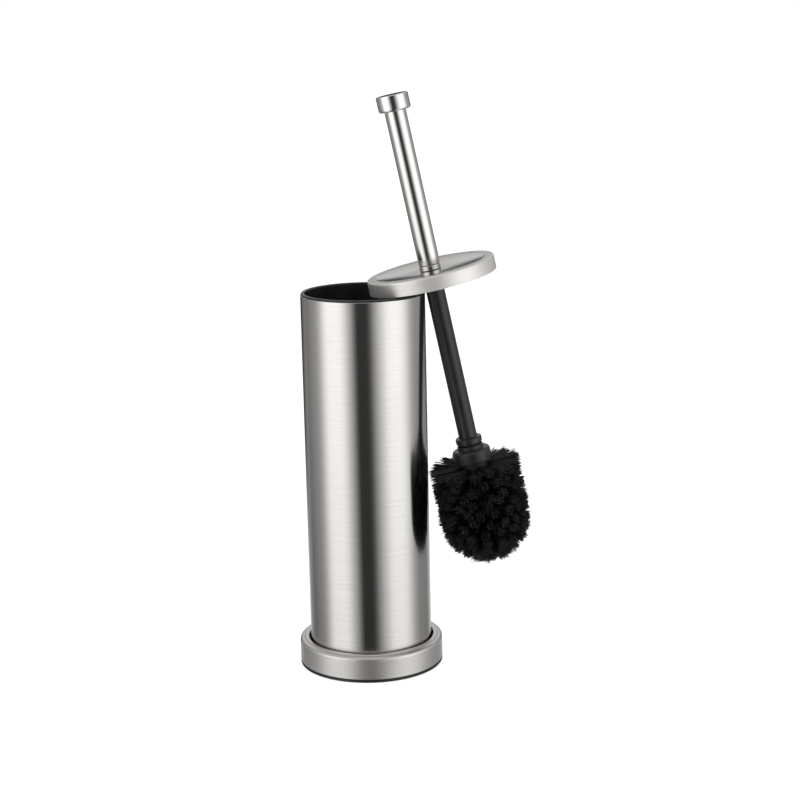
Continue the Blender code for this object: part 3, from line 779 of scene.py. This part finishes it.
# %% [markdown]
# ## The brush head
# Tufts of filament are stapled into holes in the core and fan out to a trimmed outline: a straight
# side and a round foot. One filament is a thin square prism with a few spans so that it can bend.
# A tuft is that prism repeated with a seeded scatter of root, lean and length. Six different
# tufts, each turned at random, are then set round the core in staggered rows. Long hanging
# against the rim has set the foot's tufts a millimetre towards the canister.

# %% One filament
FILAMENT_RADIUS = 0.21 * MM
ROOT_DISTANCE = 8.8 * MM
TIP_DISTANCE = (span("bristles")[2] - 0.5) * MM
filament_length = TIP_DISTANCE - ROOT_DISTANCE

bm = bmesh.new()
bmesh.ops.create_cone(bm, cap_ends=True, segments=4, radius1=FILAMENT_RADIUS,
                      radius2=FILAMENT_RADIUS, depth=filament_length)
bmesh.ops.translate(bm, verts=bm.verts[:], vec=(0, 0, filament_length / 2))
for share in (0.4, 0.75):
    bmesh.ops.bisect_plane(bm, geom=bm.verts[:] + bm.edges[:] + bm.faces[:],
                           plane_co=(0, 0, filament_length * share), plane_no=(0, 0, 1))
filament = bpy.data.meshes.new("filament")
bm.to_mesh(filament)
bm.free()
print("filament", len(filament.polygons), "faces")

# %% Tufts
FILAMENTS = 60
TUFT_ROOT = 1.5 * MM
TUFT_SPREAD = 1.9 * MM
STRAY_SHARE = 0.06
STRAY_LEAN = 2.3          # how much further a stray filament leans
LEAN_SCATTER = 0.4 * MM
FAN_SCATTER = 0.35        # radians by which a filament fans to one side
FAN_CURVE = 1.35          # above one, filaments part more towards their tips
TRIM = 0.9 * MM           # how unevenly the ends are cut


def make_tuft(seed):
    scatter = random.Random(seed)
    bm = bmesh.new()
    for _ in range(FILAMENTS):
        strand = filament.copy()
        bearing = scatter.uniform(0, 2 * math.pi)
        out = math.sqrt(scatter.random())
        root = Vector((math.cos(bearing), math.sin(bearing), 0)) * out * TUFT_ROOT
        bearing += scatter.gauss(0, FAN_SCATTER)
        stray = STRAY_LEAN if scatter.random() < STRAY_SHARE else 1.0
        lean = Vector((math.cos(bearing), math.sin(bearing), 0)) * out * TUFT_SPREAD * stray
        lean += Vector((scatter.gauss(0, LEAN_SCATTER), scatter.gauss(0, LEAN_SCATTER), 0))
        length = 1 + scatter.gauss(0, TRIM / filament_length)
        for vertex in strand.vertices:
            run = vertex.co.z / filament_length
            vertex.co += root + lean * run ** FAN_CURVE
            vertex.co.z = vertex.co.z * length - 0.5 * run * lean.length_squared / filament_length
        bm.from_mesh(strand)
        bpy.data.meshes.remove(strand)
    tuft = bpy.data.meshes.new("tuft")
    bm.to_mesh(tuft)
    bm.free()
    return tuft


tufts = [make_tuft(seed) for seed in range(6)]
print("tuft", len(tufts[0].polygons), "faces")

# %% Rows of tufts
bristle_low, bristle_high, bristle_radius = span("bristles")
dome_centre = (bristle_low + bristle_radius) * MM
TOP_ROW = bristle_high * MM - 5.2 * MM
ROW_PITCH = 6.6 * MM
ROW_TUFTS = 19
FOOT_DIPS = (11, 24, 38, 53, 68, 86)    # degrees below level of the foot's rows
TOP_LIFT = 0.06            # how far the top row is brushed upwards, in radians
BEARING_SCATTER = 0.03     # radians by which a tuft leans to one side and up or down
SLOPE_SCATTER = 0.045
SIDE_SET = 1.1 * MM        # how far the foot's tufts have taken a set towards the canister
HEAD_DEPTH = TOP_ROW - bristle_low * MM

upright_rows = int((TOP_ROW - dome_centre) / ROW_PITCH) + 1
rows = [(TOP_ROW - row * ROW_PITCH, 0.0, ROW_TUFTS) for row in range(upright_rows)]
for dip in map(math.radians, FOOT_DIPS):
    rows.append((dome_centre, dip, max(1, round(ROW_TUFTS * math.cos(dip)))))
place_scatter = random.Random(11)


def set_tufts(bm, row_index, spine_height, dip, count):
    for index in range(count):
        bearing = 2 * math.pi * (index + 0.5 * (row_index % 2)) / count
        bearing += place_scatter.gauss(0, BEARING_SCATTER)
        slope = dip + place_scatter.gauss(0, SLOPE_SCATTER) - (TOP_LIFT if row_index == 0 else 0.0)
        aim = Vector((math.cos(bearing) * math.cos(slope), math.sin(bearing) * math.cos(slope),
                      -math.sin(slope)))
        turn = aim.to_track_quat("Z", "Y").to_matrix().to_4x4()
        roll = Matrix.Rotation(place_scatter.uniform(0, 2 * math.pi), 4, "Z")
        spot = Matrix.Translation(Vector((0, 0, spine_height)) + aim * ROOT_DISTANCE)
        tuft = tufts[place_scatter.randrange(len(tufts))].copy()
        tuft.transform(spot @ turn @ roll)
        bm.from_mesh(tuft)
        bpy.data.meshes.remove(tuft)


# reach along each filament, which the nylon's colour turns into painted shade at the roots and a
# painted highlight at the tips
def mark_reach_for_painted_shade(bm):
    layer = bm.verts.layers.float.new("reach")
    for vert in bm.verts:
        below = min(0.0, vert.co.z - dome_centre)
        distance = math.sqrt(vert.co.x ** 2 + vert.co.y ** 2 + below ** 2)
        vert[layer] = (distance - ROOT_DISTANCE) / filament_length


def lean_to_side(bm):
    for vert in bm.verts:
        reach = math.hypot(vert.co.x, vert.co.y) / TIP_DISTANCE
        vert.co.x -= SIDE_SET * reach * (TOP_ROW - vert.co.z) / HEAD_DEPTH


half = upright_rows // 2
for name, part in (("tufts_upper", rows[:half]), ("tufts_middle", rows[half:upright_rows]),
                   ("tufts_lower", rows[upright_rows:upright_rows + 2]),
                   ("tufts_round_foot", rows[upright_rows + 2:])):
    bm = bmesh.new()
    for row in part:
        set_tufts(bm, rows.index(row), *row)
    mark_reach_for_painted_shade(bm)
    lean_to_side(bm)
    make_object(name, bm, brush_frame, nylon, "head", ["bristles"])
